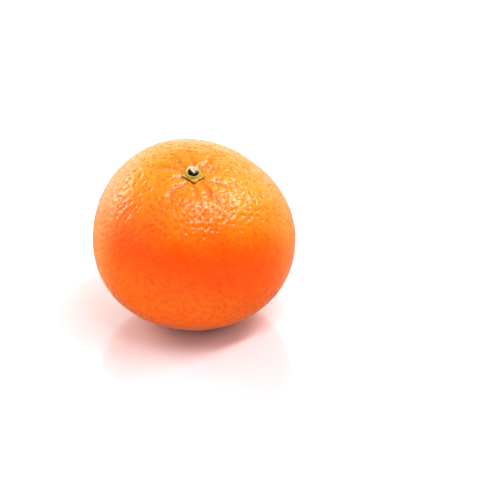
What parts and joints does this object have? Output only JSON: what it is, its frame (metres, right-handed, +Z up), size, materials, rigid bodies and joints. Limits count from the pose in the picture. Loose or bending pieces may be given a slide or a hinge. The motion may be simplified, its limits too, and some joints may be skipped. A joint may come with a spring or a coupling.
{
  "type": "mandarin",
  "caption": "Whole ripe mandarin with its star-shaped calyx and dry stem end, resting on a small flat spot.",
  "frame": {"origin": "middle of the small flat spot that the fruit rests on, at the level of the surface under it", "axes": "+Z is up; the stem end leans from +Z towards -Y, so -Y is the side that shows the calyx; +X is to the right when looking along +Y"},
  "size_m": [0.068, 0.068, 0.0598],
  "materials": {
    "orange_peel": "fresh waxy citrus peel, semi-gloss, pitted by oil glands",
    "calyx_green": "dry yellow-green sepals, matt",
    "dry_stem": "dark, dry cut stem end with a pale torn edge, matt"
  },
  "bodies": {
    "root": {"fruit": "orange_peel", "calyx": "calyx_green", "stem_stub": "dry_stem"}
  },
  "joints": []
}
